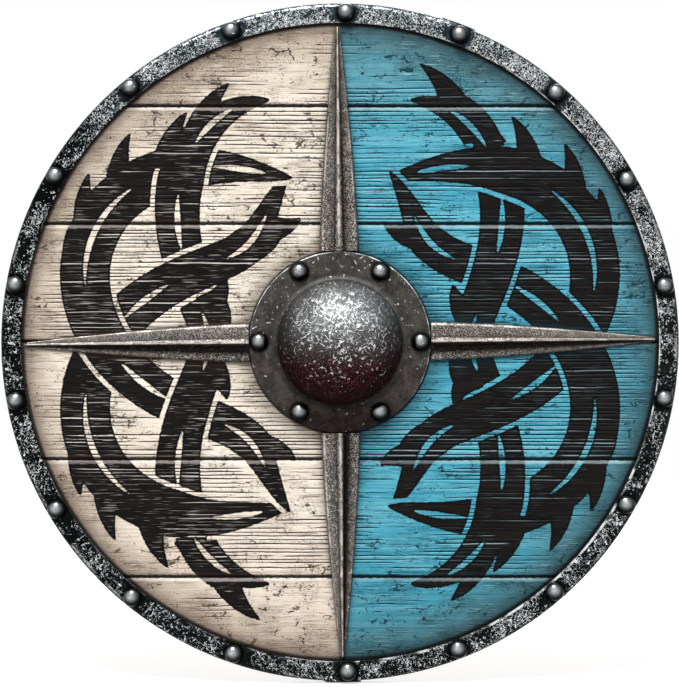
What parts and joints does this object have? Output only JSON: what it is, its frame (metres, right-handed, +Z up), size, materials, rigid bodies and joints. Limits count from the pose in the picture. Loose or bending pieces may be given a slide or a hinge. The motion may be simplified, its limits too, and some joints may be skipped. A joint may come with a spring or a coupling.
{
  "type": "round wooden shield",
  "caption": "Round centre-grip shield: painted planks in a riveted steel rim, a domed boss over the hand hole, steel arms in a cross, and a grip bar and battens behind.",
  "frame": {"origin": "middle of the hand grip, on the shield's axis and behind the boss", "axes": "+Z up along the handle, +X to the right seen from the front, and the front with its boss faces -Y"},
  "size_m": [0.61, 0.086, 0.6115],
  "materials": {
    "painted_planks": "grooved softwood, painted cream on the left half and turquoise on the right, worn, with charcoal knotwork",
    "rim_steel": "blackened sheet steel, scratched and worn bright in places",
    "rivet_steel": "dark gunmetal, half gloss",
    "boss_steel": "blackened spun steel with fine bright scratches",
    "arm_iron": "pressed iron, grainy near the boss and smoother at the tips",
    "fastener_steel": "dull plain steel",
    "bare_wood": "oiled ash",
    "wrap_leather": "worn brown leather strip"
  },
  "bodies": {
    "root": {"plank_1": "painted_planks", "plank_2": "painted_planks", "plank_3": "painted_planks", "plank_4": "painted_planks", "plank_5": "painted_planks", "plank_6": "painted_planks", "rim_band_left": "rim_steel", "rim_band_right": "rim_steel", "rim_rivets": "rivet_steel", "boss": "boss_steel", "boss_rivets": "rivet_steel", "boss_rivet_washers": "fastener_steel", "arm_right": "arm_iron", "arm_top": "arm_iron", "arm_left": "arm_iron", "arm_bottom": "arm_iron", "arm_washers": "fastener_steel", "arm_nuts": "fastener_steel", "grip_bar": "bare_wood", "grip_wrap": "wrap_leather", "grip_nails": "fastener_steel", "batten_left": "bare_wood", "batten_right": "bare_wood", "batten_nails": "fastener_steel"}
  },
  "joints": []
}
